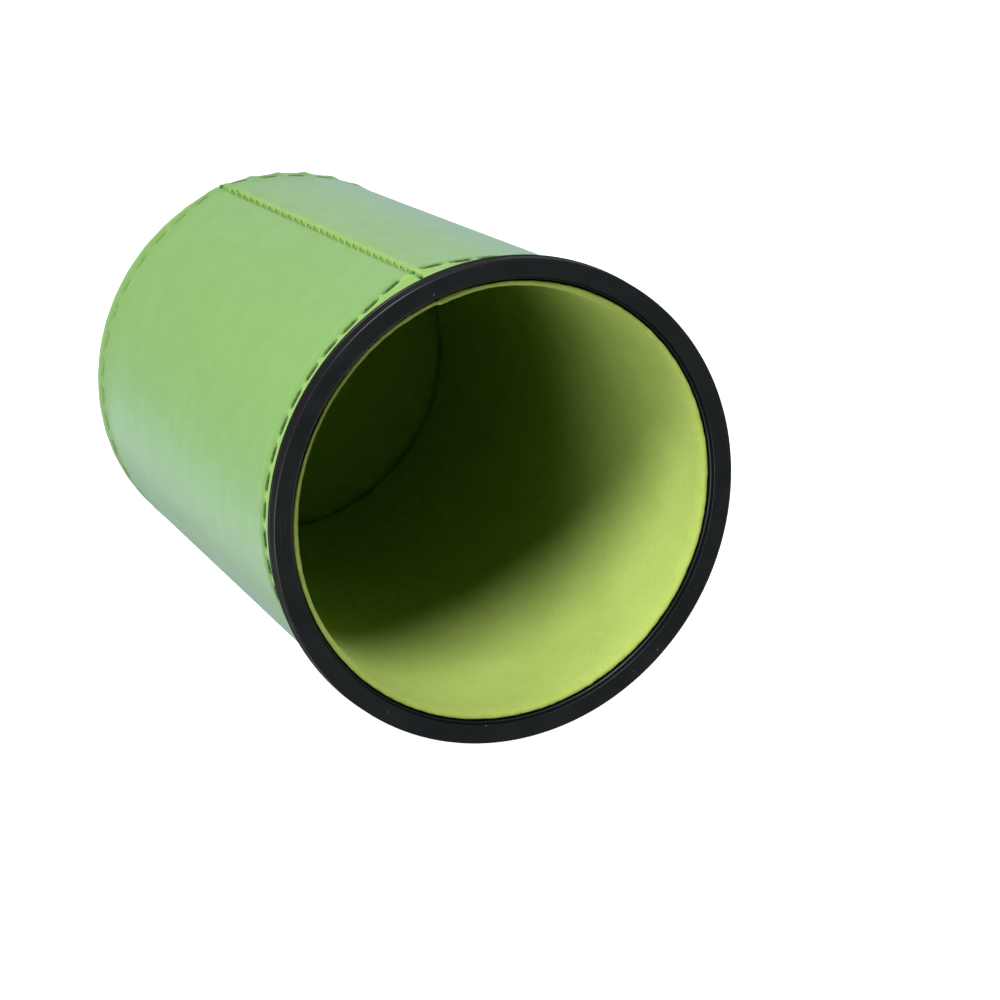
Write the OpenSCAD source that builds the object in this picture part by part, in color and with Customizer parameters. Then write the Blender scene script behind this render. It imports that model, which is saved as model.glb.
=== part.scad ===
// Leather dice cup: a moulded tub with a flanged rim, lined with felt and covered
// with a sewn leather sleeve. The cup stands on its base, the mouth faces +Z, and
// the origin is the centre of the base. The side seam faces -Y.

/* [Cup] */
// Overall height, from the base to the rim's flat face
cup_h = 95; // [90:1:105]
// Outside diameter of the rim
rim_d = 80; // [79:0.5:84]
// Outside diameter of the leather just under the rim
sleeve_top_d = 77.2; // [76:0.1:77.6]
// Outside diameter of the leather at the base
sleeve_base_d = 65.4; // [62:0.1:70]

/* [Rim] */
// Height of the rim flange
rim_h = 2.7; // [2.4:0.1:4]
// Radius of the rim's outer edge at the mouth
rim_edge_r = 0.4; // [0.3:0.1:0.8]
// Radius of the rim's lower edge
flange_edge_r = 0.3; // [0.2:0.1:0.5]
// Width of the bevel between the rim's face and the lining
bevel_w = 0.75; // [0.5:0.05:1]

/* [Layers] */
// Thickness of the leather
leather_t = 0.9; // [0.8:0.05:1]
// Thickness of a turned-in edge or flap of skived leather
skived_t = 0.5; // [0.4:0.05:0.5]
// Thickness of the tub's floor, and of its wall at the mouth
tub_t = 1; // [0.9:0.1:1.4]
// Thickness of the tub's wall at its floor
tub_base_t = 1.4; // [1:0.1:1.8]
// Thickness of the felt
felt_t = 1.1; // [1:0.1:1.6]
// Thickness of the base board
board_t = 0.6; // [0.5:0.1:1.2]
// Distance from the rim's face down to the lining's top edge
lining_recess = 1.4; // [1:0.1:2]
// Film of glue between one layer and the next
glue_t = 0.05; // [0.02:0.01:0.08]

/* [Stitching] */
// Diameter of the needle thread, which shows outside
thread_d = 0.5; // [0.4:0.05:0.5]
// Diameter of the bobbin thread, which lies behind the leather
bobbin_d = 0.3; // [0.25:0.05:0.3]
// Diameter of the side seam's thread
seam_thread_d = 0.4; // [0.3:0.05:0.4]
// Distance from the rim flange down to the rim stitch line
rim_stitch_drop = 5.2; // [4:0.1:6]
// Distance from the base up to the base stitch line
base_stitch_rise = 2.9; // [2.5:0.1:4]
// Number of stitches in the rim hem
rim_stitches = 50; // [40:1:56]
// Number of stitches in the base hem
base_stitches = 42; // [30:1:46]
// Share of each stitch's pitch that its thread covers
stitch_share = 0.66; // [0.55:0.01:0.75]
// Distance from one side-seam stitch to the next
seam_pitch = 2.85; // [2.5:0.05:3.5]

/* [Hidden] */
$fn = 96;

seam_az = -90;              // direction that the side seam faces
hem_w = 8.5;                // width of the turned-in hem at the rim
base_flap_h = 6;            // height of the base leather's upturned edge
seam_flap_a = 10.5;         // half-angle covered by the seam's turned-in flaps
stiffener_gap_a = 12;       // half-angle of the gap in the stiffener at the seam
stiffener_end_gap = 0.5;    // room between the stiffener and the hems
lining_joint_a = 0.4;       // half-angle of the butt joint in the wall lining
slit_w = 0.2;               // width of the slit where the sleeve's edges meet
seam_groove_w = 1.7;        // width of the groove pulled in along the seam
seam_groove_d = 0.6;        // depth of that groove
hem_start = 1;              // stitch pitches from the seam to a hem's first stitch
hem_end = 0.6;              // stitch pitches from a hem's last stitch to the seam
seam_slant = 28;            // slant of the seam's crossing stitches
fit_gap = 0.1;              // room round a thread in its hole, on the diameter
hole_d = thread_d + fit_gap;    // needle hole that the thread fills
hole_reach = 3;             // how far a needle hole reaches to each side of the leather's face
groove_d = 0.35;            // depth of the groove that a hem's thread beds in
groove_room = 0.4;          // extra width of that groove over its thread
seam_thread_depth = 0.45;   // depth at which the side seam's thread crosses the slit
seam_stitch_l = 2.4;        // length of one of its crossing stitches
tack_d = 0.45;              // diameter of a bar tack's stitches
tack_l = 1.5;               // length of a bar tack's stitches
tack_gap = 1.2;             // distance from a hem's stitch line to the bar tack
tack_step = 0.75 * tack_d;  // distance from one stitch of a bar tack to the next
seam_end_gap = 2.4;         // distance from a hem's stitch line to the side seam's stitches
past = 1;                   // how far a cutting shape reaches past the face it cuts
sleeve_h = cup_h - rim_h - glue_t;
rim_stitch_z = cup_h - rim_h - rim_stitch_drop;
seam_start_z = base_stitch_rise + seam_end_gap;
seam_end_z = rim_stitch_z - seam_end_gap;
seam_count = floor((seam_end_z - seam_start_z) / seam_pitch);
lining_top_z = cup_h - lining_recess;

// The bottom is a stack: leather, board, tub floor, felt floor disc.
board_z = leather_t + glue_t;
tub_z = board_z + board_t + glue_t;
floor_z = tub_z + tub_t + glue_t;
lining_z = floor_z + felt_t + glue_t;

// Every side layer is a cone that runs parallel to the leather's outer face, except
// that the tub's wall grows thicker towards its floor.
taper_slope = (sleeve_top_d - sleeve_base_d) / 2 / (cup_h - rim_h);
taper_a = atan(taper_slope);
function sleeve_r(z) = sleeve_base_d / 2 + taper_slope * z;
function sleeve_back_r(z) = sleeve_r(z) - leather_t;
function flap_r(z) = sleeve_back_r(z) - glue_t;
function flap_back_r(z) = flap_r(z) - skived_t;
function tub_r(z) = flap_back_r(z) - glue_t;
function tub_wall_t(z) = tub_base_t + (tub_t - tub_base_t) * (z - tub_z) / (cup_h - tub_z);
function tub_bore_r(z) = tub_r(z) - tub_wall_t(z);
function lining_r(z) = tub_bore_r(z) - glue_t;
function lining_bore_r(z) = lining_r(z) - felt_t;

// Removes the sharp tip of a convex corner that points along [sx, sy].
module round_tip(corner, r, sx, sy) {
    translate(corner)
        difference() {
            translate([sx > 0 ? -r : -past, sy > 0 ? -r : -past])
                square(r + past);
            translate([-sx * r, -sy * r])
                circle(r);
        }
}

// A ring of conical wall between two heights, over part of a turn.
module cone_wall(z0, z1, r0_out, r1_out, r0_in, r1_in, from_a = 0, span_a = 360) {
    rotate([0, 0, from_a])
        rotate_extrude(angle = span_a)
            polygon([[r0_in, z0], [r0_out, z0], [r1_out, z1], [r1_in, z1]]);
}

// The angle from one stitch of a hem to the next.
function pitch_a(count) = 360 / (count - 1 + hem_start + hem_end);
function half_stitch_a(count) = pitch_a(count) / 2 * stitch_share;

// Places its children at every stitch of a hem, from one side of the seam to the other.
module around(count) {
    for (i = [0 : count - 1])
        rotate([0, 0, seam_az + (hem_start + i) * pitch_a(count)])
            children();
}

// Holes where the needle went through, at both ends of every stitch of a hem.
module needle_holes(count, z, r) {
    around(count)
        for (side = [-1, 1])
            rotate([0, 0, side * half_stitch_a(count)])
                translate([r, 0, z])
                    rotate([0, 90, 0])
                        cylinder(d = hole_d, h = 2 * hole_reach, center = true);
}

// Profile of the groove that a hem's stitches pull into the leather.
module stitch_groove(z, r, d) {
    groove_w = d + groove_room;
    translate([r - groove_d, z - groove_w / 2])
        square([2 * groove_d, groove_w]);
}

// One stitch: a length of thread along the hem, and a leg through each needle hole.
// The legs are a little thicker than the thread, as where it turns into a hole.
module stitch(count, z, r, lock_r, d) {
    half_a = half_stitch_a(count);
    leg_d = 1.1 * d;
    top_r = r + sign(r - lock_r) * leg_d / 2;
    translate([0, 0, z]) {
        rotate([0, 0, -half_a])
            rotate_extrude(angle = 2 * half_a)
                translate([r, 0])
                    circle(d = d);
        for (side = [-1, 1])
            rotate([0, 0, side * half_a])
                translate([min(top_r, lock_r), 0, 0])
                    rotate([0, 90, 0])
                        cylinder(d = leg_d, h = abs(top_r - lock_r));
    }
}

// The depth at which needle thread and bobbin thread lock together.
function lock_r(z) = sleeve_back_r(z) + 0.2;

module hem_needle_thread(count, z) {
    around(count)
        stitch(count, z, sleeve_r(z), lock_r(z) + glue_t / 2, thread_d);
}

module hem_bobbin_thread(count, z) {
    around(count)
        stitch(count, z, flap_back_r(z) + bobbin_d / 2, lock_r(z) - glue_t / 2, bobbin_d);
}

// Moulded tub: conical wall, flat floor and a thick flange round the bevelled mouth.
module inner_tub() {
    flange_z = cup_h - rim_h;
    color([0.11, 0.13, 0.14])
        rotate_extrude()
            difference() {
                polygon([
                    [0, tub_z],
                    [tub_r(tub_z), tub_z],
                    [tub_r(flange_z), flange_z],
                    [rim_d / 2, flange_z],
                    [rim_d / 2, cup_h],
                    [tub_bore_r(lining_top_z) + bevel_w, cup_h],
                    [tub_bore_r(lining_top_z), lining_top_z],
                    [tub_bore_r(tub_z + tub_t), tub_z + tub_t],
                    [0, tub_z + tub_t]
                ]);
                round_tip([rim_d / 2, cup_h], rim_edge_r, 1, 1);
                round_tip([rim_d / 2, flange_z], flange_edge_r, 1, -1);
            }
}

// Felt rolled inside the wall, its two ends butted together near the seam.
module felt_wall_lining() {
    color([0.62, 0.75, 0.36])
        cone_wall(lining_z, lining_top_z,
            lining_r(lining_z), lining_r(lining_top_z),
            lining_bore_r(lining_z), lining_bore_r(lining_top_z),
            seam_az + lining_joint_a, 360 - 2 * lining_joint_a);
}

// Felt disc on the tub's floor, held down by the wall lining.
module felt_floor_disc() {
    color([0.52, 0.66, 0.28])
        translate([0, 0, floor_z])
            cylinder(r = lining_r(floor_z), h = felt_t);
}

// Thin card rolled between tub and leather, open at the seam for its flaps.
module stiffener_wrap() {
    z0 = base_flap_h + stiffener_end_gap;
    z1 = sleeve_h - hem_w - stiffener_end_gap;
    color([0.72, 0.68, 0.6])
        cone_wall(z0, z1, flap_r(z0), flap_r(z1), flap_back_r(z0), flap_back_r(z1),
            seam_az + stiffener_gap_a, 360 - 2 * stiffener_gap_a);
}

// The sleeve's conical sheet with its top edge folded in to form the hem.
module sleeve_shell() {
    hem_z = sleeve_h - hem_w;
    rotate_extrude()
        difference() {
            polygon([
                [sleeve_r(0), 0],
                [sleeve_r(sleeve_h), sleeve_h],
                [flap_back_r(sleeve_h), sleeve_h],
                [flap_back_r(hem_z), hem_z],
                [sleeve_back_r(hem_z), hem_z],
                [sleeve_back_r(0), 0]
            ]);
            round_tip([sleeve_r(sleeve_h), sleeve_h], leather_t / 2, 1, 1);
            round_tip([sleeve_r(0), 0], leather_t / 2, 1, -1);
            stitch_groove(rim_stitch_z, sleeve_r(rim_stitch_z), thread_d);
            stitch_groove(rim_stitch_z, flap_back_r(rim_stitch_z), bobbin_d);
            stitch_groove(base_stitch_rise, sleeve_r(base_stitch_rise), thread_d);
        }
}

// The sleeve's two upright edges, turned inwards and glued flat behind the seam.
module seam_flaps() {
    z0 = base_flap_h + stiffener_end_gap;
    z1 = sleeve_h - hem_w - stiffener_end_gap;
    overlap = leather_t / 3;
    cone_wall(z0, z1, sleeve_back_r(z0) + overlap, sleeve_back_r(z1) + overlap,
        flap_back_r(z0), flap_back_r(z1), seam_az - seam_flap_a, 2 * seam_flap_a);
}

// Leans its children along the wall, with the base of the seam as their origin.
module along_seam() {
    rotate([0, 0, seam_az])
        translate([sleeve_r(0), 0, 0])
            rotate([0, taper_a, 0])
                children();
}

// The slit where the sleeve's two edges meet, and the groove sewn in over it.
module seam_opening() {
    along_seam() {
        translate([-hole_reach, -slit_w / 2, -past])
            cube([2 * hole_reach, slit_w, cup_h + 2 * past]);
        translate([0, 0, -past])
            linear_extrude(cup_h + 2 * past)
                polygon([
                    [-seam_groove_d, 0],
                    [0, -seam_groove_w / 2],
                    [seam_groove_d, 0],
                    [0, seam_groove_w / 2]
                ]);
    }
}

// The side seam's crossing stitches, as solids of a given thickness and length.
module seam_stitches(d, l) {
    along_seam()
        for (i = [0 : seam_count])
            translate([-seam_thread_depth, 0, seam_start_z + i * seam_pitch])
                rotate([90 + seam_slant, 0, 0])
                    cylinder(d = d, h = l, center = true);
}

// Leather sleeve: the sewn cone that covers the tub from the rim to the base.
module leather_sleeve() {
    color([0.58, 0.77, 0.47])
        difference() {
            union() {
                sleeve_shell();
                seam_flaps();
            }
            seam_opening();
            seam_stitches(seam_thread_d + fit_gap, seam_stitch_l + fit_gap);
            needle_holes(rim_stitches, rim_stitch_z, sleeve_r(rim_stitch_z));
            needle_holes(base_stitches, base_stitch_rise, sleeve_r(base_stitch_rise));
        }
}

// Stiff board that keeps the base flat under the tub.
module base_board() {
    color([0.66, 0.6, 0.5])
        translate([0, 0, board_z])
            cylinder(r = flap_back_r(board_z) - glue_t, h = board_t);
}

// Leather base: a disc whose edge turns up inside the sleeve, where it is sewn.
module leather_base() {
    color([0.55, 0.74, 0.44])
        difference() {
            rotate_extrude()
                difference() {
                    polygon([
                        [0, 0],
                        [flap_r(0), 0],
                        [flap_r(base_flap_h), base_flap_h],
                        [flap_back_r(base_flap_h), base_flap_h],
                        [flap_back_r(leather_t), leather_t],
                        [0, leather_t]
                    ]);
                    stitch_groove(base_stitch_rise, flap_back_r(base_stitch_rise), bobbin_d);
                }
            needle_holes(base_stitches, base_stitch_rise, sleeve_r(base_stitch_rise));
        }
}

module rim_hem_needle_thread() {
    color([0.5, 0.72, 0.3])
        hem_needle_thread(rim_stitches, rim_stitch_z);
}

module rim_hem_bobbin_thread() {
    color([0.4, 0.62, 0.25])
        hem_bobbin_thread(rim_stitches, rim_stitch_z);
}

module base_hem_needle_thread() {
    color([0.5, 0.72, 0.3])
        hem_needle_thread(base_stitches, base_stitch_rise);
}

module base_hem_bobbin_thread() {
    color([0.4, 0.62, 0.25])
        hem_bobbin_thread(base_stitches, base_stitch_rise);
}

// Side-seam thread: slanted stitches that draw the sleeve's two edges together.
module side_seam_thread() {
    color([0.45, 0.68, 0.28])
        seam_stitches(seam_thread_d, seam_stitch_l);
}

// Bar tacks: tight groups of stitches that lock both ends of the side seam.
module seam_bar_tacks() {
    color([0.31, 0.66, 0.24])
        along_seam()
            for (z = [base_stitch_rise + tack_gap, rim_stitch_z - tack_gap], i = [-1 : 1])
                translate([tack_d / 2 + glue_t, 0, z + i * tack_step])
                    rotate([90, 0, 0])
                        cylinder(d = tack_d, h = tack_l, center = true);
}

inner_tub();
felt_wall_lining();
felt_floor_disc();
stiffener_wrap();
leather_sleeve();
base_board();
leather_base();
rim_hem_needle_thread();
rim_hem_bobbin_thread();
base_hem_needle_thread();
base_hem_bobbin_thread();
side_seam_thread();
seam_bar_tacks();
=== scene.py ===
import math
import random

import bmesh
import bpy
import numpy as np
from mathutils import Matrix, Vector, noise


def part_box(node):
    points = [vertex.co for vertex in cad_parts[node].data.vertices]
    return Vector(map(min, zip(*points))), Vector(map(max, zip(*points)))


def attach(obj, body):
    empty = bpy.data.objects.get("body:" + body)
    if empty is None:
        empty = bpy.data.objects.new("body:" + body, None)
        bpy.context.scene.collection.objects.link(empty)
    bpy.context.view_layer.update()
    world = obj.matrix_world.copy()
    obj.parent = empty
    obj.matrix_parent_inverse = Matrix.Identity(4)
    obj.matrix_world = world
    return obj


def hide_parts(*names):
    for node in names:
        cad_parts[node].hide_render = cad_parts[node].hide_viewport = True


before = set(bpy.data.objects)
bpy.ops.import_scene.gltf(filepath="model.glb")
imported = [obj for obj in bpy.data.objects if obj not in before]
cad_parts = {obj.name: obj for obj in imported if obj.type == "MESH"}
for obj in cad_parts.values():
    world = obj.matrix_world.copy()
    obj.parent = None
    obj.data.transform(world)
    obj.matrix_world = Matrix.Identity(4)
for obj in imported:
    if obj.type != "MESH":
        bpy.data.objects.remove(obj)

# The cup stands on its base at the origin, its mouth faces +Z and its side seam faces -Y.
# Angles round the cup start at the seam and grow towards +X. Shapes are worked out in
# millimetres and turned into metres when a mesh is made.
MM = 0.001
FULL_TURN = 2 * math.pi
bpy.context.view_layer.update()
random.seed(7)


# ---------------------------------------------------------------- sizes from the frame

ON_LEVEL = 0.01          # a vertex this close to a height counts as lying on it
CLOSE_BY = 1.5           # the same for the felt's edges, whose corners are rounded


def node_points(node):
    """All the vertices of a CAD node, in millimetres, as an array."""
    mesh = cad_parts[node].data
    points = np.empty(len(mesh.vertices) * 3)
    mesh.vertices.foreach_get("co", points)
    return points.reshape(-1, 3) / MM


def heights(node):
    """Lowest and highest z of a CAD node, in millimetres."""
    low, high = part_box(node)
    return low.z / MM, high.z / MM


def radius_at(node, z, pick, reach=ON_LEVEL):
    """Largest (pick=max) or smallest (pick=min) radius of a CAD node close to height z."""
    points = node_points(node)
    points = points[np.abs(points[:, 2] - z) <= reach]
    return float(pick(np.hypot(points[:, 0], points[:, 1])))


def cone_slope(node):
    """How much the outer radius of a CAD cone grows per millimetre of height."""
    z0, z1 = heights(node)
    return (radius_at(node, z1, np.max) - radius_at(node, z0, np.max)) / (z1 - z0)


SLEEVE_Z0, SLEEVE_Z1 = heights("leather_sleeve")
TUB_Z0, RIM_Z = heights("inner_tub")
LINING_Z0, LINING_Z1 = heights("felt_wall_lining")
DISC_Z0, DISC_Z1 = heights("felt_floor_disc")
SEAM_Z0, SEAM_Z1 = heights("side_seam_thread")
RIM_STITCH_Z = sum(heights("rim_hem_needle_thread")) / 2
BASE_STITCH_Z = sum(heights("base_hem_needle_thread")) / 2

FIT = 0.05               # clearance between neighbouring pieces
LEATHER_T = 0.9
WALL_SLOPE = cone_slope("stiffener_wrap")
BASE_LEATHER_R = radius_at("leather_base", 0, np.max)
SLEEVE_BASE_R = BASE_LEATHER_R + FIT + LEATHER_T

FLANGE_Z = SLEEVE_Z1 + FIT
RIM_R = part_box("inner_tub")[1].x / MM
BEVEL_R = radius_at("inner_tub", RIM_Z, np.min)
TUB_WALL_R = radius_at("inner_tub", FLANGE_Z, np.min)
TUB_BASE_R = radius_at("inner_tub", TUB_Z0, np.max)

LINING_TOP_R = radius_at("felt_wall_lining", LINING_Z1, np.max, CLOSE_BY)
LINING_TOP_BORE = radius_at("felt_wall_lining", LINING_Z1, np.min, CLOSE_BY)
LINING_LOW_R = radius_at("felt_wall_lining", LINING_Z0, np.max, CLOSE_BY)
LINING_LOW_BORE = radius_at("felt_wall_lining", LINING_Z0, np.min, CLOSE_BY)
LINING_SLOPE = (LINING_TOP_R - LINING_LOW_R) / (LINING_Z1 - LINING_Z0)
FELT_T = LINING_TOP_R - LINING_TOP_BORE

# Sewing. A hem starts and ends beside the side seam, at these shares of a stitch pitch.
RIM_STITCHES = 50
BASE_STITCHES = 42
HEM_START = 1.0
HEM_END = 0.6
STITCH_SHARE = 0.66      # the part of a pitch that the stitch covers
SEAM_PITCH = 2.85
SEAM_START = 0.6         # from the seam's lower end to its first stitch
FOLD = 0.45              # how far the side seam's fold lies towards +X
RIM_SAG = 2.3            # how far the stitch lines dip beside the seam
BASE_SAG = 2.0
RIM_WANDER = 0.7         # how far the rim's stitch line strays up and down elsewhere
LINING_JOINT = math.radians(1.2)


def sleeve_radius(z):
    """Radius of the leather's outer face at height z, before it is shaped by its stitches."""
    return SLEEVE_BASE_R + WALL_SLOPE * z


# ---------------------------------------------------------------- mesh building

def smoothstep(low, high, x):
    """0 at low and 1 at high, with a smooth rise (or fall, where high is below low) between."""
    t = np.clip((np.asarray(x, float) - low) / (high - low), 0, 1)
    return t * t * (3 - 2 * t)


def bell(x, width):
    """1 at x = 0, falling smoothly towards 0 over about twice the width."""
    return np.exp(-(np.asarray(x, float) / width) ** 2)


def ridge(distance, height, width, middle=0.0):
    """A rounded ridge along a line, or a groove where its height is negative."""
    return height * bell(distance - middle, width)


def stepped(low, high, step, fine_step, centres, reach):
    """Values from low to high, closer together within reach of any of the centres."""
    values = [low]
    while values[-1] < high:
        near = any(abs(values[-1] + fine_step - c) < reach for c in centres)
        values.append(values[-1] + (fine_step if near else step))
    values[-1] = high
    return np.array(values)


def arc(centre, radius, start, end, count):
    """Points of an arc in the (radius, height) plane, angles in degrees."""
    angles = np.radians(np.linspace(start, end, count))
    return [(centre[0] + radius * math.cos(a), centre[1] + radius * math.sin(a)) for a in angles]


def rounded_path(corners):
    """Rounds each (radius, height, rounding) corner of an open path with an arc-like curve."""
    path = [corners[0][:2]]
    for before, corner, after in zip(corners, corners[1:], corners[2:]):
        tip = Vector(corner[:2])
        start = tip + (Vector(before[:2]) - tip).normalized() * corner[2]
        end = tip + (Vector(after[:2]) - tip).normalized() * corner[2]
        for t in np.linspace(0, 1, 6):
            point = start.lerp(tip, t).lerp(tip.lerp(end, t), t)
            path.append((point.x, point.y))
    path.append(corners[-1][:2])
    return path


def columns_of(profile):
    """A list of tuples as one upright array per column, ready to be spread round the cup."""
    return [np.array(column)[:, None] for column in zip(*profile)]


def grid_faces(rows, columns, close_rows, close_columns):
    """Quads between neighbouring points of a grid, joined end to start where asked."""
    row = np.arange(rows if close_rows else rows - 1)
    column = np.arange(columns if close_columns else columns - 1)
    row, column = np.meshgrid(row, column, indexing="ij")
    next_row = (row + 1) % rows
    next_column = (column + 1) % columns
    quads = (row * columns + column, row * columns + next_column,
             next_row * columns + next_column, next_row * columns + column)
    return np.stack(quads, -1).reshape(-1, 4).tolist()


def make_piece(name, points, faces, material, node):
    """A smooth mesh object that rides on the cup's one body and stands for a CAD node."""
    mesh = bpy.data.meshes.new(name)
    mesh.from_pydata((np.asarray(points) * MM).tolist(), [], faces)
    work = bmesh.new()
    work.from_mesh(mesh)
    bmesh.ops.recalc_face_normals(work, faces=work.faces)
    work.to_mesh(mesh)
    work.free()
    mesh.polygons.foreach_set("use_smooth", [True] * len(mesh.polygons))
    mesh.materials.append(material)
    piece = bpy.data.objects.new(name, mesh)
    bpy.context.scene.collection.objects.link(piece)
    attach(piece, "root")
    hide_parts(node)
    return piece


def add_mask(piece, name, values):
    """Stores one number per vertex, for a material to read."""
    layer = piece.data.attributes.new(name, "FLOAT", "POINT")
    layer.data.foreach_set("value", np.asarray(values, np.float32).ravel())


def turned(radii, levels, angles):
    """Points of a surface of revolution, as an array of rows x columns x 3."""
    shape = np.broadcast_shapes(np.shape(radii), np.shape(levels), np.shape(angles))
    radii, levels, angles = (np.broadcast_to(v, shape) for v in (radii, levels, angles))
    return np.stack([radii * np.sin(angles), -radii * np.cos(angles), levels], -1)


def noise_field(points, size, seed):
    """Smooth noise between about -1 and 1, with features of the given size in millimetres."""
    offset = Vector((seed * 7.3, seed * 3.1, seed * 5.7))
    flat = points.reshape(-1, 3) / size
    values = [noise.noise(Vector(p) + offset) for p in flat.tolist()]
    return np.array(values).reshape(points.shape[:-1])


# ---------------------------------------------------------------- materials

class Nodes:
    """A material's node tree, built one call per node. Texture scales are per metre."""

    def __init__(self, name):
        self.material = bpy.data.materials.new(name)
        self.material.use_nodes = True
        self.tree = self.material.node_tree
        self.tree.nodes.clear()

    def new(self, kind, inputs=None, **settings):
        """A node with its settings made and its inputs joined or filled in."""
        node = self.tree.nodes.new("ShaderNode" + kind)
        for key, value in settings.items():
            setattr(node, key, value)
        for key, value in (inputs or {}).items():
            self.join(value, node.inputs[key])
        return node

    def add(self, kind, inputs=None, output=0, **settings):
        """The same, but gives back the node's output."""
        return self.new(kind, inputs, **settings).outputs[output]

    def join(self, value, socket):
        if isinstance(value, bpy.types.NodeSocket):
            self.tree.links.new(value, socket)
        else:
            socket.default_value = value

    def math(self, operation, a, b=0.0, c=0.0):
        return self.add("Math", {0: a, 1: b, 2: c}, operation=operation)

    def times(self, a, b):
        return self.math("MULTIPLY", a, b)

    def plus(self, a, b):
        return self.math("ADD", a, b)

    def ramp(self, value, low, high, to_low=0.0, to_high=1.0):
        """A smooth step from to_low, where value is low, to to_high, where it is high."""
        inputs = {"Value": value, "From Min": low, "From Max": high,
                  "To Min": to_low, "To Max": to_high}
        return self.add("MapRange", inputs, interpolation_type="SMOOTHSTEP")

    def mix(self, factor, first, second):
        """A blend of two colours. Sockets 6 and 7 of the Mix node are its colour inputs."""
        inputs = {0: factor, 6: first, 7: second}
        return self.add("Mix", inputs, output=2, data_type="RGBA")

    def place(self):
        """The place on the object, in metres."""
        return self.add("TexCoord", output="Object")

    def noise(self, scale, detail=3.0, rough=0.5, vector=None, distortion=0.0):
        inputs = {"Vector": vector or self.place(), "Scale": scale, "Detail": detail,
                  "Roughness": rough, "Distortion": distortion}
        return self.add("TexNoise", inputs)

    def cells(self, scale):
        return self.add("TexVoronoi", {"Vector": self.place(), "Scale": scale})

    def mask(self, name):
        """A number that add_mask stored on the mesh."""
        return self.add("Attribute", output="Fac", attribute_name=name)

    def parts(self, vector):
        """The x, y and z of a vector."""
        return self.new("SeparateXYZ", {0: vector}).outputs

    def bump(self, height, strength, distance, normal=None):
        inputs = {"Height": height, "Strength": strength, "Distance": distance}
        if normal:
            inputs["Normal"] = normal
        return self.add("Bump", inputs)

    def finish(self, **inputs):
        named = {key.replace("_", " "): value for key, value in inputs.items()}
        shader = self.add("BsdfPrincipled", named)
        self.new("OutputMaterial", {"Surface": shader})
        return self.material


def colour(red, green, blue):
    return (red, green, blue, 1.0)


LEATHER_DEEP = colour(0.122, 0.268, 0.049)
LEATHER_PALE = colour(0.125, 0.273, 0.051)
LEATHER_PORE = colour(0.10, 0.22, 0.04)
LEATHER_PAINTED_LIGHT = colour(0.205, 0.385, 0.060)
LEATHER_CREASE_SHADE = colour(0.022, 0.075, 0.006)
LEATHER_BLOOM = colour(0.61, 0.88, 0.99)

PLASTIC_DEEP = colour(0.0125, 0.0165, 0.0170)
PLASTIC_PALE = colour(0.0170, 0.0215, 0.0225)
PLASTIC_WALL_SHADE = colour(0.0045, 0.0048, 0.0052)
PLASTIC_SCRATCH = colour(0.10, 0.11, 0.12)
DUST = colour(0.30, 0.30, 0.29)

FELT_DEEP = colour(0.362, 0.500, 0.106)
FELT_PALE = colour(0.400, 0.545, 0.128)
FELT_FIBRE = colour(0.48, 0.64, 0.20)
FELT_PIT = colour(0.20, 0.31, 0.04)
FELT_SPECK = colour(0.13, 0.18, 0.03)
FELT_EDGE_LIGHT = colour(0.43, 0.59, 0.11)
FELT_CORNER_SHADE = colour(0.16, 0.14, 0.03)
FELT_SHEEN = colour(0.80, 0.95, 0.40)

# The dark and the light tone of each thread.
HEM_GREEN = (colour(0.034, 0.098, 0.013), colour(0.073, 0.175, 0.024))
MID_GREEN = (colour(0.112, 0.240, 0.040), colour(0.155, 0.315, 0.055))
LIGHT_GREEN = (colour(0.160, 0.320, 0.045), colour(0.230, 0.410, 0.070))
EMERALD = (colour(0.025, 0.150, 0.018), colour(0.060, 0.260, 0.035))
THREAD_SHEEN = colour(0.8, 1.0, 0.7)

CARD_DEEP = colour(0.40, 0.33, 0.23)
CARD_PALE = colour(0.55, 0.47, 0.35)
CARD_FLECK = colour(0.2, 0.16, 0.11)
FLOOR_DEEP = colour(0.86, 0.87, 0.88)
FLOOR_PALE = colour(0.90, 0.90, 0.905)
WHITE = colour(1.0, 1.0, 1.0)


def leather_material():
    """Smooth green leather with fine pores and a pale bloom where it is seen at a low angle.

    The mesh's masks say where shade is painted in its creases, where light is painted on the strip
    above the rim stitches and by the seam, where sewing has rubbed the bloom off, and its lower
    edge.
    """
    n = Nodes("apple_green_leather")
    cloud = n.ramp(n.noise(45, detail=4, rough=0.55), 0.35, 0.68)
    base = n.mix(cloud, LEATHER_DEEP, LEATHER_PALE)
    pore = n.ramp(n.noise(1500, detail=2), 0.62, 0.75)
    base = n.mix(n.times(pore, 0.08), base, LEATHER_PORE)
    # Painted light: the swollen strip above the rim stitches and the seam's rolled edge are painted
    # lighter.
    base = n.mix(n.times(n.mask("painted_light"), 0.60), base, LEATHER_PAINTED_LIGHT)
    # Painted shade: the creases under the hem stitches and the gaps in the seam's groove are
    # painted dark.
    base = n.mix(n.mask("crease"), base, LEATHER_CREASE_SHADE)

    grain = n.times(n.noise(5200, rough=0.6), 0.5)
    grain = n.math("MULTIPLY_ADD", n.cells(2600), 0.6, grain)
    normal = n.bump(grain, 0.12, 0.00006)
    normal = n.bump(n.noise(160), 0.05, 0.0003, normal)
    rough = n.ramp(n.noise(220, detail=4), 0.3, 0.7, 0.44, 0.52)

    facing = n.add("LayerWeight", {"Blend": 0.5}, output="Facing")
    unworked = n.math("SUBTRACT", 1.0, n.mask("worked"))
    bloom = n.times(n.ramp(facing, 0.53, 0.90, 0.06, 0.80), unworked)
    bloom = n.plus(bloom, n.times(n.mask("low_edge"), 0.8))
    return n.finish(Base_Color=base, Roughness=rough, Normal=normal, Specular_IOR_Level=0.32,
                    Sheen_Weight=bloom, Sheen_Roughness=0.35, Sheen_Tint=LEATHER_BLOOM)


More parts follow.
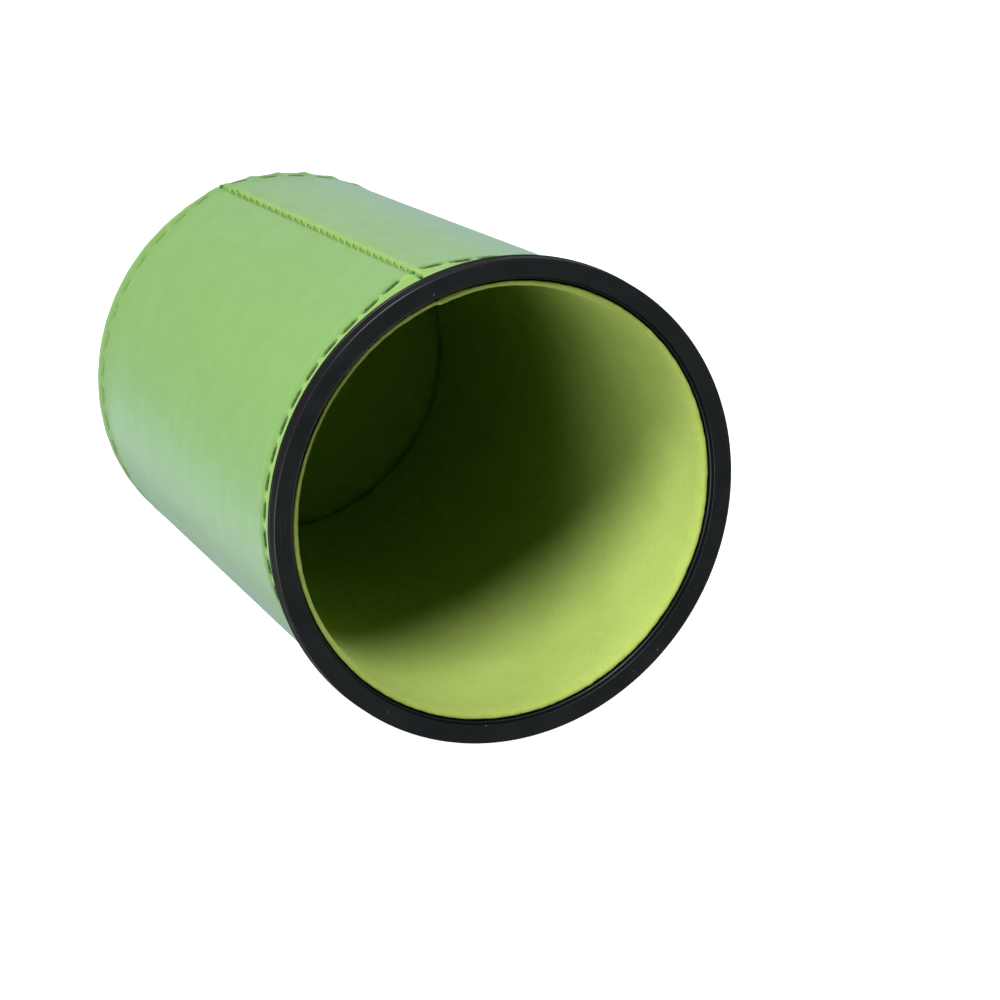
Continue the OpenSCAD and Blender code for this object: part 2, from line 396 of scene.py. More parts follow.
def plastic_material():
    """Black moulded plastic, satin on top and matt on upright faces, which are painted darker as
    painted shade.

    Its dust is in scattered specks, and its scratches follow the rim, because their noise is
    stretched round the axis.
    """
    n = Nodes("black_moulded_plastic")
    x, y, z = n.parts(n.place())
    radius = n.math("SQRT", n.plus(n.math("POWER", x, 2.0), n.math("POWER", y, 2.0)))
    turn = n.math("ARCTAN2", y, x)
    rings = {0: n.times(radius, 5200.0), 1: n.times(turn, 2.2), 2: n.times(z, 1500.0)}
    stretched = n.noise(1.0, detail=2, vector=n.add("CombineXYZ", rings))
    scratch = n.ramp(stretched, 0.66, 0.74)
    smudge = n.noise(140, detail=5, rough=0.6)
    scattered = n.ramp(n.noise(260, detail=1), 0.54, 0.60)
    dust = n.times(n.ramp(n.cells(420), 0.10, 0.055), scattered)
    level = n.math("ABSOLUTE", n.parts(n.add("NewGeometry", output="Normal"))[2])

    base = n.mix(smudge, PLASTIC_DEEP, PLASTIC_PALE)
    base = n.mix(n.times(scratch, 0.10), base, PLASTIC_SCRATCH)
    base = n.mix(n.times(dust, 0.7), base, DUST)
    # Painted shade: upright faces, such as the flange's outer wall, are painted darker than the
    # top.
    base = n.mix(n.ramp(level, 0.70, 0.45), base, PLASTIC_WALL_SHADE)
    rough = n.plus(n.ramp(smudge, 0.3, 0.7, 0.30, 0.42), n.times(scratch, 0.12))
    height = n.math("MULTIPLY_ADD", scratch, -0.5, n.noise(2600, rough=0.6))
    gloss = n.ramp(level, 0.50, 0.75, 0.012, 0.30)
    return n.finish(Base_Color=base, Roughness=rough, Normal=n.bump(height, 0.08, 0.00005),
                    Specular_IOR_Level=gloss)


def felt_material():
    """Yellow-green felt: matted fibres, small pits and specks, painted light on its top edge,
    painted shade in its lower corners.
    """
    n = Nodes("yellow_green_felt")
    cloud = n.ramp(n.noise(90, detail=5, rough=0.6), 0.3, 0.7)
    base = n.mix(cloud, FELT_DEEP, FELT_PALE)
    fibre = n.noise(1900, detail=6, rough=0.75, distortion=1.2)
    base = n.mix(n.ramp(fibre, 0.35, 0.75, 0.0, 0.50), base, FELT_FIBRE)
    pit = n.ramp(n.noise(900, rough=0.6), 0.66, 0.80)
    base = n.mix(n.times(pit, 0.50), base, FELT_PIT)
    scattered = n.ramp(n.noise(180, detail=1), 0.58, 0.63)
    speck = n.times(n.ramp(n.cells(230), 0.12, 0.05), scattered)
    base = n.mix(n.times(speck, 0.12), base, FELT_SPECK)
    # Painted light on the lining's top edge, which the rim's lip shades from the lamps.
    base = n.mix(n.times(n.mask("edge_light"), 0.70), base, FELT_EDGE_LIGHT)
    # Painted shade where the wall lining meets the floor disc.
    base = n.mix(n.times(n.mask("corner"), 0.75), base, FELT_CORNER_SHADE)
    height = n.math("MULTIPLY_ADD", n.noise(480, detail=4, rough=0.6), 0.8, fibre)
    return n.finish(Base_Color=base, Roughness=0.95, Normal=n.bump(height, 0.45, 0.00025),
                    Specular_IOR_Level=0.05, Sheen_Weight=0.04, Sheen_Roughness=0.7,
                    Sheen_Tint=FELT_SHEEN)


def thread_material(name, tones):
    """Twisted sewing thread, mottled between two tones."""
    n = Nodes(name)
    tone = n.ramp(n.noise(1400, rough=0.6), 0.35, 0.65)
    fibre = n.noise(7000, detail=4, rough=0.7, distortion=0.6)
    return n.finish(Base_Color=n.mix(tone, *tones), Roughness=0.62,
                    Normal=n.bump(fibre, 0.35, 0.00006), Sheen_Weight=0.12,
                    Sheen_Roughness=0.5, Sheen_Tint=THREAD_SHEEN)


def card_material():
    """Grey-brown pulp board with darker flecks."""
    n = Nodes("pulp_board")
    fibre = n.noise(700, detail=6, rough=0.7, distortion=2.0)
    base = n.mix(n.ramp(fibre, 0.35, 0.7), CARD_DEEP, CARD_PALE)
    fleck = n.ramp(n.cells(900), 0.10, 0.04)
    base = n.mix(n.times(fleck, 0.5), base, CARD_FLECK)
    return n.finish(Base_Color=base, Roughness=0.9, Normal=n.bump(fibre, 0.3, 0.0001))


def floor_material():
    """Pale floor whose glow is stronger for the camera than for the light it gives the cup."""
    n = Nodes("pale_studio_floor")
    base = n.mix(n.noise(6), FLOOR_DEEP, FLOOR_PALE)
    seen = n.add("LightPath", output="Is Camera Ray")
    glow = n.ramp(seen, 0.0, 1.0, FLOOR_BOUNCE, FLOOR_GLOW)
    return n.finish(Base_Color=base, Roughness=0.65, Normal=n.bump(n.noise(900), 0.05, 0.0002),
                    Emission_Color=WHITE, Emission_Strength=glow)


# ---------------------------------------------------------------- stitch patterns

def stitch_pitch(count):
    """Angle from one stitch of a hem to the next; the hem starts and ends beside the seam."""
    return FULL_TURN / (count - 1 + HEM_START + HEM_END)


def stitch_phase(angles, count):
    """Place in the stitch pattern: 0 at a stitch's middle, 1 halfway between two stitches."""
    turns = angles % FULL_TURN / stitch_pitch(count) - HEM_START
    nearest = np.clip(np.round(turns), 0, count - 1)
    return np.minimum(2 * np.abs(turns - nearest), 1.0)


def stitch_pull(angles, count):
    """1 along each stitch, 0 in the gaps between stitches."""
    phase = stitch_phase(angles, count)
    return 1 - smoothstep(STITCH_SHARE - 0.06, STITCH_SHARE + 0.2, phase)


def from_seam(angles):
    """Angle from the side seam, between -pi and pi."""
    return (angles + math.pi) % FULL_TURN - math.pi


def near_seam(angles, middle, reach):
    """1 beside the seam, falling to 0 away from it. middle and reach are in mm along the rim."""
    return bell(sleeve_radius(SLEEVE_Z1) * from_seam(angles) - middle, reach)


def rim_line(angles):
    """Height of the rim hem's stitch line, which wanders a little and sags beside the seam."""
    wander = RIM_WANDER * np.cos(3 * (angles - 0.6))
    return RIM_STITCH_Z + wander - RIM_SAG * near_seam(angles, 1.0, 7.0)


def base_line(angles):
    """Height of the base hem's stitch line, which sags beside the seam."""
    return BASE_STITCH_Z - BASE_SAG * near_seam(angles, -1.5, 8.3)


def rim_tension(angles):
    """How tight the rim's stitches are: tightest beside the seam."""
    return 0.12 + 1.20 * near_seam(angles, -1.5, 36)


def base_puckers(angles):
    """How much the leather puckers at the base: most on the seam's -X side."""
    return 0.22 + 1.0 * bell(angles + 0.55, 0.45)


def seam_beat(z, offset=0.0):
    """1 at every stitch of the side seam and -1 between them, moved up by offset."""
    return np.cos(FULL_TURN * (z - SEAM_Z0 - SEAM_START - offset) / SEAM_PITCH)


# ---------------------------------------------------------------- leather

def waviness(angles, z):
    """Slow unevenness of leather glued round a cone, and its swelling along the seam."""
    slow = 0.05 * np.sin(2 * angles + 0.7) * np.cos(z / 31.0 + 0.4)
    medium = 0.02 * np.sin(5 * angles - z / 17.0) * np.cos(z / 23.0)
    return slow + medium + 0.35 * bell(sleeve_radius(z) * from_seam(angles), 6.0)


def rim_hem_height(angles, z):
    """Grooves under the rim's stitches, swellings above and below them, and a tucked-in edge."""
    above = z - rim_line(angles)
    pull = stitch_pull(angles, RIM_STITCHES)
    gap = stitch_phase(angles, RIM_STITCHES)
    depth = 0.25 + 0.20 * np.minimum(rim_tension(angles), 1.0)
    grooves = pull * (ridge(above, depth, 0.40) + ridge(above, 0.10, 1.2))
    upper_swelling = ridge(above, 0.10 + 0.16 * gap, 1.1, middle=1.7)
    lower_swelling = ridge(above, 0.02 + 0.08 * gap, 1.0, middle=-1.5)
    tuck = 0.10 * smoothstep(SLEEVE_Z1 - 1.1, SLEEVE_Z1, z)
    return upper_swelling + lower_swelling - grooves - tuck


def base_hem_height(angles, z):
    """Grooves under the base's stitches, and puckers that stand up between them."""
    above = z - base_line(angles)
    pull = stitch_pull(angles, BASE_STITCHES)
    gap = stitch_phase(angles, BASE_STITCHES)
    amount = base_puckers(angles)
    grooves = pull * (ridge(above, 0.12, 0.60) + ridge(above, 0.16 * amount, 1.8))
    puckers = ridge(above, 0.30 * amount * gap ** 2, 2.4, middle=-1.0)
    return puckers + ridge(above, 0.05, 1.4, middle=2.2) - grooves


def seam_height(across, z):
    """The leather beside the side seam: a sharp fold with a rolled edge towards -X."""
    past = across - FOLD
    fold = (0.34 + 0.08 * seam_beat(z)) * np.exp(-np.abs(past / 0.30) ** 1.8)
    rolled_edge = ridge(past, 0.20, 0.75, middle=-0.95) + ridge(past, 0.08, 1.8, middle=-3.0)
    far_edge = ridge(past, 0.08, 0.5, middle=0.8)
    return np.where(past < 0, rolled_edge, far_edge) * smoothstep(0.0, 9.0, z) - fold


def leather_masks(angles, z):
    """Per-point numbers for the leather's material, by mask name."""
    across = sleeve_radius(z) * angles
    above_rim_line = z - rim_line(angles)
    above_base_line = z - base_line(angles)

    # Painted shade under the rim and base stitches and between the seam's stitches, where the
    # crease mask darkens the leather.
    rim_shade_width = 0.52 + 0.45 * near_seam(angles, -8.0, 8.0)
    rim_crease_shade = rim_tension(angles) * bell(above_rim_line, rim_shade_width)
    base_crease_shade = 0.10 * bell(above_base_line, 1.2)
    seam_crease_shade = 0.62 * bell(across - FOLD, 0.28) * smoothstep(2.0, 9.0, z)
    crease = (stitch_pull(angles, RIM_STITCHES) * rim_crease_shade
              + stitch_pull(angles, BASE_STITCHES) * base_crease_shade
              + (0.5 - 0.5 * seam_beat(z, 0.9)) * seam_crease_shade)

    # Painted light beside the seam's fold and on the strip between the rim stitches and the rim.
    painted_light = 0.8 * bell(across + 0.4, 0.70) * smoothstep(-2.0, 8.0, z)
    painted_light = painted_light + 0.75 * smoothstep(-1.2, 0.5, above_rim_line)

    hems = smoothstep(-3.2, -1.6, above_rim_line) + smoothstep(3.2, 1.6, above_base_line)
    beyond_seam = smoothstep(0.0, -0.1, across / SLEEVE_BASE_R)
    worked = hems * (0.85 - 0.6 * base_puckers(angles) * beyond_seam) + bell(across, 1.3)
    return {"crease": crease, "painted_light": painted_light, "worked": worked, "low_edge": bell(z, 1.1)}


def sheet_edge(level, start, end):
    """A half-round edge of the sleeve, as (height, depth, 1 on its outer half or 0)."""
    edge_r = LEATHER_T / 2
    points = arc((-edge_r, level), edge_r, start, end, 8)
    return [(z, -x, 1.0 if x > -edge_r else 0.0) for x, z in points]


def leather_sleeve(material):
    """The sleeve as one closed sheet: outer face, top edge, inner face and lower edge."""
    low, high = SLEEVE_Z0 + LEATHER_T / 2, SLEEVE_Z1 - LEATHER_T / 2
    hem_middles = (RIM_STITCH_Z - 1.2, BASE_STITCH_Z - 1.0)
    profile = [(z, 0.0, 1.0) for z in stepped(low, high, 0.7, 0.17, hem_middles, 2.7)]
    profile += sheet_edge(high, 15, 165)
    profile += [(z, LEATHER_T, 0.0) for z in np.linspace(high, low, 9)]
    profile += sheet_edge(low, 195, 345)
    z, depth, outer = columns_of(profile)

    step = math.radians(0.62)
    angles = stepped(-math.pi, math.pi, step, step / 5, (0.0,), math.radians(5.5))[None, :-1]
    height = (waviness(angles, z) + rim_hem_height(angles, z) + base_hem_height(angles, z)
              + seam_height(sleeve_radius(z) * angles, z))
    points = turned(sleeve_radius(z) - depth + outer * height, z, angles)
    rows, columns = points.shape[:2]
    faces = grid_faces(rows, columns, True, True)
    sleeve = make_piece("sleeve_leather", points.reshape(-1, 3), faces, material,
                        "leather_sleeve")
    for name, values in leather_masks(angles, z).items():
        add_mask(sleeve, name, np.clip(values, 0, 1) * outer + 0 * angles)
    return sleeve


def turned_piece(name, profile, count, material, node, lift=None):
    """A turned solid whose profile starts and ends near the axis, closed there by flat caps.

    lift(radii, levels, angles), where given, is added to the heights of its points.
    """
    angles = np.linspace(0, FULL_TURN, count, endpoint=False)[None, :]
    radii, levels = columns_of(profile)
    if lift:
        levels = levels + lift(radii, levels, angles)
    points = turned(radii, levels, angles)
    rows, columns = points.shape[:2]
    faces = grid_faces(rows, columns, False, True)
    faces.append(list(range(columns)))
    faces.append(list(range((rows - 1) * columns, rows * columns)))
    return make_piece(name, points.reshape(-1, 3), faces, material, node)


def base_edge_puckers(radii, levels, angles):
    """Lift of the base leather's underside between its stitches, close to its edge."""
    near_edge = smoothstep(BASE_LEATHER_R - 4, BASE_LEATHER_R, radii) * (levels < LEATHER_T / 2)
    return 0.12 * near_edge * stitch_phase(angles, BASE_STITCHES)


def leather_underside(material):
    """The base leather: a slightly hollow disc whose edge turns up inside the sleeve."""
    edge_r = 0.7
    cap_r = 1.0
    flap_inner_r = BASE_LEATHER_R - 0.5
    disc_r = np.linspace(cap_r, BASE_LEATHER_R - edge_r, 70)
    hollow = 0.35 * (1 - smoothstep(0, BASE_LEATHER_R, disc_r))
    flap_z = np.linspace(edge_r, heights("leather_base")[1], 6)[1:]
    profile = list(zip(disc_r, hollow))
    profile += arc((BASE_LEATHER_R - edge_r, edge_r), edge_r, -90, 0, 8)
    profile += [(BASE_LEATHER_R + WALL_SLOPE * z, z) for z in flap_z]
    profile += [(flap_inner_r + WALL_SLOPE * z, z) for z in flap_z[::-1]]
    profile += [(flap_inner_r, LEATHER_T + 0.1), (flap_inner_r - edge_r, LEATHER_T)]
    profile += [(BASE_LEATHER_R * 0.6, LEATHER_T), (cap_r, LEATHER_T)]
    return turned_piece("base_leather", profile, 300, material, "leather_base",
                        base_edge_puckers)


# ---------------------------------------------------------------- tub and felt

def rim_profile():
    """The tub's rim from the flange's underside to the wall behind the lining."""
    bead_z = FLANGE_Z + 0.62
    lining_r = LINING_TOP_R + FIT
    flange = [(TUB_WALL_R, FLANGE_Z, 0.0), (RIM_R, FLANGE_Z, 0.25)]
    bead = [(RIM_R, bead_z, 0.06), (RIM_R - 0.10, bead_z + 0.09, 0.05)]
    chamfer = [(RIM_R - 0.03, RIM_Z - 0.17, 0.09), (RIM_R - 0.20, RIM_Z - 0.02, 0.09)]
    top = [((RIM_R + BEVEL_R) / 2, RIM_Z, 0.5), (BEVEL_R, RIM_Z - 0.08, 0.10)]
    bevel = [(BEVEL_R - 0.33, RIM_Z - 0.72, 0.06), (BEVEL_R - 0.47, RIM_Z - 0.82, 0.06)]
    wall = [(lining_r, LINING_Z1 - 0.1, 0.1), (lining_r - LINING_SLOPE * 3, LINING_Z1 - 3.1, 0.0)]
    return rounded_path(flange + bead + chamfer + top + bevel + wall)


def black_tub(material):
    """The moulded tub: its rim has a small chamfer and a low bead outside and a bevel inside."""
    cap_r = 2.0
    inner_r = LINING_LOW_R - LINING_SLOPE * (LINING_Z0 - DISC_Z0) + FIT
    floor_z = DISC_Z0 - FIT
    profile = [(cap_r, TUB_Z0), (TUB_BASE_R * 0.6, TUB_Z0)]
    profile += [(TUB_BASE_R - 0.4, TUB_Z0), (TUB_BASE_R, TUB_Z0 + 0.4)]
    profile += rim_profile()
    profile += [(inner_r, floor_z), (inner_r * 0.5, floor_z), (cap_r, floor_z)]
    return turned_piece("tub_plastic", profile, 360, material, "inner_tub")


def lining_profile():
    """The lining's section as (height, depth from its outer face, softness), from below."""
    lip_w = 0.92 * FELT_T
    lip_h = 1.7
    low_edge_r = 0.30
    low_edge = arc((0.0, 0.0), low_edge_r, -90, 0, 7)[:-1]
    profile = [(LINING_Z0 + low_edge_r + y, FELT_T - 0.75 * (1 - x), 1.0) for x, y in low_edge]
    face_z = np.linspace(LINING_Z0 + low_edge_r, LINING_Z1 - lip_h, 130)
    profile += [(z, FELT_T, 1.0) for z in face_z]
    lip = arc((0.0, 0.0), 1.0, 8, 90, 12)
    profile += [(LINING_Z1 - lip_h * (1 - y), FELT_T - lip_w * (1 - x), 1.0) for x, y in lip]
    profile += [(LINING_Z1 - 0.03, 0.0, 0.4), (LINING_Z1 - 0.25, 0.0, 0.0), (LINING_Z0, 0.0, 0.0)]
    return profile


def lining_swelling(points, z, to_end, from_start):
    """How far the lining's face stands inwards: lumps, nap, a proud end and a sunken start."""
    top = smoothstep(LINING_Z1 - 2.0, LINING_Z1, z)
    lumps = 0.10 * (noise_field(points, 14.0, 1) + 0.2)
    nap = 0.07 * noise_field(points, 1.4, 2) * (0.6 + 1.2 * top)
    proud_end = 0.26 * smoothstep(9.0, 0.0, to_end) * smoothstep(LINING_Z1 - 26, LINING_Z1, z)
    blunt_end = 0.3 + 0.7 * smoothstep(0.0, 0.55, to_end)
    low_start = 0.12 * smoothstep(5.0, 0.0, from_start) * top
    return np.maximum(lumps + nap + proud_end * blunt_end - low_start, -0.05)


def lining_lift(points, z):
    """How far the lining's cut edge rises, unevenly, above the CAD's level edge."""
    top = smoothstep(LINING_Z1 - 2.0, LINING_Z1, z)
    crown = 0.42 * smoothstep(LINING_Z1 - 1.2, LINING_Z1 - 0.1, z)
    return crown + top * (0.10 * noise_field(points, 9.0, 4) + 0.08 * noise_field(points, 1.1, 5))


def felt_lining(material):
    """Felt rolled inside the tub: soft uneven surface, rounded cut edge, one end standing proud."""
    z, depth, soft = columns_of(lining_profile())
    half_gap = math.radians(0.04)
    first = LINING_JOINT + half_gap
    last = LINING_JOINT + FULL_TURN - half_gap
    step = math.radians(0.9)
    angles = stepped(first, last, step, step / 6, (last,), math.radians(2))[None, :]
    radii = LINING_LOW_R + LINING_SLOPE * (z - LINING_Z0) - depth
    plain = turned(radii, z, angles)
    to_end = (last - angles) * LINING_TOP_BORE
    from_start = (angles - first) * LINING_TOP_BORE
    radii = radii - soft * lining_swelling(plain, z, to_end, from_start)
    points = turned(radii, z + lining_lift(plain, z), angles)

    rows, columns = points.shape[:2]
    faces = grid_faces(rows, columns, True, False)
    faces.append([row * columns for row in range(rows)])
    faces.append([row * columns + columns - 1 for row in range(rows)])
    lining = make_piece("lining_felt", points.reshape(-1, 3), faces, material,
                        "felt_wall_lining")
    # Painted light: the mask for the lighter top edge.
    add_mask(lining, "edge_light", smoothstep(LINING_Z1 - 0.7, LINING_Z1 - 0.1, z) + 0 * angles)
    # Painted shade: the mask for the darker lower corner.
    add_mask(lining, "corner", 0.22 * bell(z - LINING_Z0, 1.1) + 0 * angles)
    return lining


def felt_floor(material):
    """The felt disc on the tub's floor, pressed down along its edge by the wall lining."""
    cap_r = 0.8
    edge = LINING_LOW_BORE + 0.5
    radii = np.concatenate([np.linspace(cap_r, edge - 1.6, 50), np.linspace(edge - 1.5, edge, 10)])
    crown = 0.12 * (1 - (radii / edge) ** 2) - 0.22 * smoothstep(edge - 1.5, edge, radii)
    profile = list(zip(radii, DISC_Z1 + crown))
    profile += [(edge, DISC_Z0 + 0.1), (edge * 0.6, DISC_Z0 + 0.05), (cap_r, DISC_Z0 + 0.05)]

    def lumps(radii, levels, angles):
        return 0.05 * noise_field(turned(radii, levels, angles), 6.0, 3) * (radii > 1.0)

    disc = turned_piece("floor_felt", profile, 240, material, "felt_floor_disc", lumps)
    points = np.array([v.co for v in disc.data.vertices]) / MM
    from_axis = np.hypot(points[:, 0], points[:, 1])
    # No painted light on the floor disc.
    add_mask(disc, "edge_light", 0 * from_axis)
    # Painted shade round the disc's edge, in the corner under the wall lining.
    add_mask(disc, "corner", 0.22 * smoothstep(edge - 1.8, edge - 0.4, from_axis))
    return disc


# ---------------------------------------------------------------- threads

# Each stitch is a short rope: the radius of its strands, and how often they twist round.
HEM_ROPE = (0.145, 2.6)
SEAM_ROPE = (0.15, 0.9)
TACK_ROPE = (0.11, 1.2)

# How deep each hem's thread lies below the leather's plain face.
RIM_THREAD_SUNK = 0.07
BASE_THREAD_SUNK = 0.20


def rope(centre, side_a, side_b, strand_r, turns, strands=3, sides=6):
    """Strands twisted round a centre line; side_a and side_b are unit vectors across it."""
    count = len(centre)
    along = np.linspace(0, 1, count)
    points, faces = [], []
    for strand in range(strands):
        twist = (FULL_TURN * (turns * along + strand / strands))[:, None]
        aside = strand_r * 1.08 * (np.cos(twist) * side_a + np.sin(twist) * side_b)
        for corner in range(sides):
            swing = FULL_TURN * corner / sides
            edge = strand_r * (math.cos(swing) * side_a + math.sin(swing) * side_b)
            points.append(centre + aside + edge)
        first = strand * sides * count
        for corner in range(sides):
            here = first + corner * count
            there = first + (corner + 1) % sides * count
            faces += [[here + i, here + i + 1, there + i + 1, there + i] for i in range(count - 1)]
        faces.append([first + corner * count for corner in range(sides)])
        faces.append([first + corner * count + count - 1 for corner in range(sides)])
    return np.concatenate(points), faces


def join_ropes(name, ropes, material, node):
    """One piece made of many short ropes."""
    points, faces = [], []
    start = 0
    for rope_points, rope_faces in ropes:
        points.append(rope_points)
        faces += [[start + i for i in face] for face in rope_faces]
        start += len(rope_points)
    return make_piece(name, np.concatenate(points), faces, material, node)


def outward_at(angles):
    """Unit vectors that point straight out of the cup's wall."""
    return turned(np.ones_like(angles), np.zeros_like(angles), angles)


def hem_stitch(middle, half, line, lean, sunk):
    """One stitch of a hem: it lies in its crease and dives into the leather at both ends."""
    along = np.linspace(-1.12, 1.12, 22)
    angles = middle + half * along
    level = line(angles) + lean * along
    dive = 0.85 * smoothstep(0.72, 1.12, np.abs(along))
    radii = sleeve_radius(level) + waviness(angles, level) - sunk - dive
    centre = turned(radii, level, angles)
    upward = np.tile([0.0, 0.0, 1.0], (len(angles), 1))
    return rope(centre, outward_at(angles), upward, *HEM_ROPE)


def hem_thread(name, count, line, sunk, material, node):
    """A hem's visible stitches, a little uneven, along the height given by line(angles)."""
    half = stitch_pitch(count) / 2 * STITCH_SHARE
    ropes = []
    for i in range(count):
        lean = random.uniform(-0.08, 0.08)
        shift = random.uniform(-0.04, 0.04) * half
        middle = (HEM_START + i) * stitch_pitch(count) + shift
        ropes.append(hem_stitch(middle, half * random.uniform(0.95, 1.05), line, lean, sunk))
    return join_ropes(name, ropes, material, node)


def crossing_stitch(across, level, proud, kind):
    """A stitch across the seam, standing proud of the plain leather by the given amounts."""
    plain = sleeve_radius(level)
    radii = plain + waviness(across / plain, level) + proud
    angles = across / radii
    centre = turned(radii, level, angles)
    direction = np.gradient(centre, axis=0)
    direction /= np.linalg.norm(direction, axis=1)[:, None]
    outward = outward_at(angles)
    return rope(centre, outward, np.cross(direction, outward), *kind)


def seam_thread(material):
    """Short slanted stitches that cross the side seam's groove."""
    along = np.linspace(-1, 1, 12)
    across = FOLD + 0.62 * along - 0.30
    dive = 0.45 * smoothstep(0.30, 1.0, np.abs(along)) + 0.06 * (1 - along)
    ropes = []
    for z in np.arange(SEAM_Z0, SEAM_Z1, SEAM_PITCH) + SEAM_START:
        level = z + 0.80 * along + random.uniform(-0.08, 0.08)
        ropes.append(crossing_stitch(across, level, 0.02 - dive, SEAM_ROPE))
    return join_ropes("seam_thread", ropes, material, "side_seam_thread")


def bar_tacks(material):
    """Clumps of four tight stitches that lock the two ends of the side seam."""
    along = np.linspace(-1, 1, 14)
    dive = 0.7 * smoothstep(0.4, 1.0, np.abs(along))
    clumps = ((RIM_STITCH_Z - 2.2, 0.3, 0.5), (RIM_STITCH_Z + 1.0, 0.5, -0.5),
              (BASE_STITCH_Z + 4.6, 0.0, 0.4), (BASE_STITCH_Z - 2.2, 0.3, -0.3))
    ropes = []
    for z, aside, lean in clumps:
        for row in (-1.5, -0.5, 0.5, 1.5):
            across = aside + 0.45 * along + random.uniform(-0.12, 0.12)
            level = z + row * 0.20 + lean * along * 0.5
            ropes.append(crossing_stitch(across, level, 0.04 - dive, TACK_ROPE))
    return join_ropes("tack_thread", ropes, material, "seam_bar_tacks")


# ---------------------------------------------------------------- studio

CAMERA_AZIMUTH = math.radians(37.35)
CAMERA_ELEVATION = math.radians(60.85)
CAMERA_ROLL = math.radians(-122.0)
CAMERA_DISTANCE = 1.1118                     # from the middle of the cup's mouth
CAMERA_LENS = 252.0
CAMERA_AIM = Vector((0.00084, -0.00094, 0.0))

STUDIO_WHITE = (1.06, 1.0, 1.03)
FLOOR_SIZE = 3.0
FLOOR_GLOW = 0.80                            # as the camera sees it
FLOOR_BOUNCE = 0.32                          # as it lights the cup
FILL_WHITE = colour(0.86, 0.93, 1.0)
FILL_STRENGTH = 0.008
BACKDROP_WHITE = colour(0.93, 0.94, 0.95)


def camera_axes():
    """Unit vectors to the right, up and back of the main camera."""
    back = Vector((math.sin(CAMERA_AZIMUTH) * math.cos(CAMERA_ELEVATION),
                   -math.cos(CAMERA_AZIMUTH) * math.cos(CAMERA_ELEVATION),
                   math.sin(CAMERA_ELEVATION)))
    level_right = (-back).cross(Vector((0, 0, 1))).normalized()
    level_up = level_right.cross(-back)
    up = level_up * math.cos(CAMERA_ROLL) + level_right * math.sin(CAMERA_ROLL)
    return up.cross(back), up, back


def from_camera(rightward, upward, backward):
    """A direction in the room, given in the main camera's own axes."""
    right, up, back = camera_axes()
    return right * rightward + up * upward + back * backward


def add_camera():
    """The main camera, looking down into the mouth and rolled so that the cup lies on its side."""
    right, up, back = camera_axes()
    data = bpy.data.cameras.new("main_camera")
    data.lens = CAMERA_LENS
    data.sensor_width = 36.0
    data.clip_end = 50.0
    camera = bpy.data.objects.new("main_camera", data)
    bpy.context.scene.collection.objects.link(camera)
    mouth = Vector((0, 0, RIM_Z * MM))
    turn = Matrix((right, up, back)).transposed().to_4x4()
    camera.matrix_world = Matrix.Translation(mouth + CAMERA_AIM + back * CAMERA_DISTANCE) @ turn
    bpy.context.scene.camera = camera


def add_light(name, towards, distance, size, power):
    """A round softbox aimed at the cup's middle, on the side that towards points to."""
    direction = towards.normalized()
    data = bpy.data.lights.new(name, "AREA")
    data.shape = "DISK"
    data.size = size
    data.energy = power
    data.color = STUDIO_WHITE
    light = bpy.data.objects.new(name, data)
    bpy.context.scene.collection.objects.link(light)
    middle = Vector((0, 0, RIM_Z * MM * 0.6))
    light.location = middle + direction * distance
    light.rotation_euler = direction.to_track_quat("Z", "Y").to_euler()


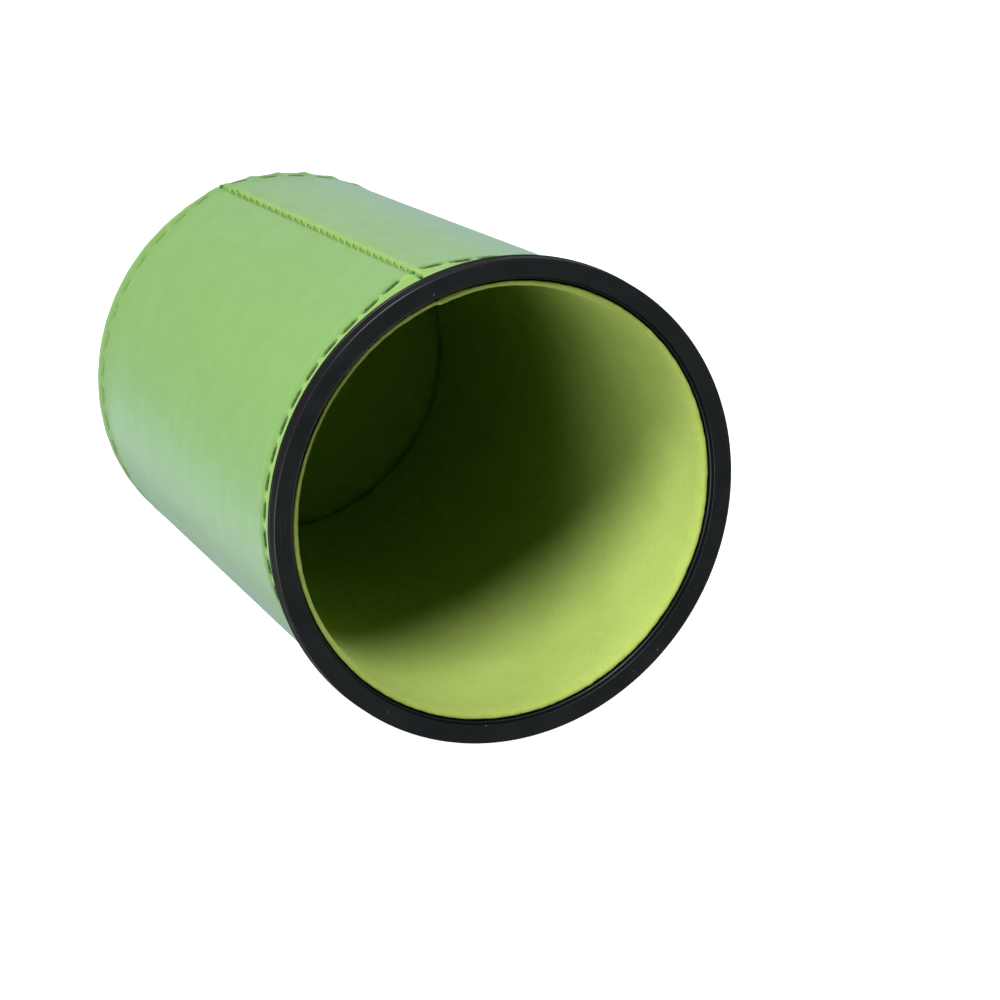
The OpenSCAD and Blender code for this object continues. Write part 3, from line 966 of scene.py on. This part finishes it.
def add_world():
    """Dim fill light from all round, but a pale backdrop where the camera sees it."""
    world = bpy.data.worlds.new("studio")
    bpy.context.scene.world = world
    world.use_nodes = True
    tree = world.node_tree
    tree.nodes.clear()
    path = tree.nodes.new("ShaderNodeLightPath")
    fill = tree.nodes.new("ShaderNodeBackground")
    fill.inputs["Color"].default_value = FILL_WHITE
    fill.inputs["Strength"].default_value = FILL_STRENGTH
    backdrop = tree.nodes.new("ShaderNodeBackground")
    backdrop.inputs["Color"].default_value = BACKDROP_WHITE
    mix = tree.nodes.new("ShaderNodeMixShader")
    output = tree.nodes.new("ShaderNodeOutputWorld")
    tree.links.new(path.outputs["Is Camera Ray"], mix.inputs["Fac"])
    tree.links.new(fill.outputs[0], mix.inputs[1])
    tree.links.new(backdrop.outputs[0], mix.inputs[2])
    tree.links.new(mix.outputs[0], output.inputs["Surface"])


def add_floor():
    """A wide pale floor just under the cup."""
    mesh = bpy.data.meshes.new("floor")
    corners = [(x * FLOOR_SIZE, y * FLOOR_SIZE, 0) for x, y in ((-1, -1), (1, -1), (1, 1), (-1, 1))]
    mesh.from_pydata(corners, [], [(0, 1, 2, 3)])
    mesh.materials.append(floor_material())
    floor = bpy.data.objects.new("floor", mesh)
    floor.location.z = -0.1 * MM
    bpy.context.scene.collection.objects.link(floor)


# ---------------------------------------------------------------- the cup

def carry_over(node, material):
    """Gives a procedural material to a CAD node that keeps its own shape."""
    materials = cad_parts[node].data.materials
    materials.clear()
    materials.append(material)


leather = leather_material()
felt = felt_material()
dark_thread = thread_material("green_thread", HEM_GREEN)

leather_sleeve(leather)
leather_underside(leather)
black_tub(plastic_material())
felt_lining(felt)
felt_floor(felt)
hem_thread("rim_thread", RIM_STITCHES, rim_line, RIM_THREAD_SUNK,
           dark_thread, "rim_hem_needle_thread")
hem_thread("base_thread", BASE_STITCHES, base_line, BASE_THREAD_SUNK,
           thread_material("mid_green_thread", MID_GREEN), "base_hem_needle_thread")
seam_thread(thread_material("light_green_thread", LIGHT_GREEN))
bar_tacks(thread_material("emerald_thread", EMERALD))

card = card_material()
carry_over("stiffener_wrap", card)
carry_over("base_board", card)
carry_over("rim_hem_bobbin_thread", dark_thread)
carry_over("base_hem_bobbin_thread", dark_thread)

add_floor()
add_world()
add_camera()
add_light("left_softbox", from_camera(-0.680, -0.429, 0.594), distance=0.70, size=0.48, power=3.7)
add_light("top_softbox", from_camera(-0.128, 0.662, 0.738), distance=0.70, size=0.25, power=5.2)
add_light("rear_fill", Vector((-0.60, 0.80, 0.30)), distance=0.90, size=0.60, power=2.6)

scene = bpy.context.scene
scene.view_settings.view_transform = "Standard"
scene.view_settings.look = "None"
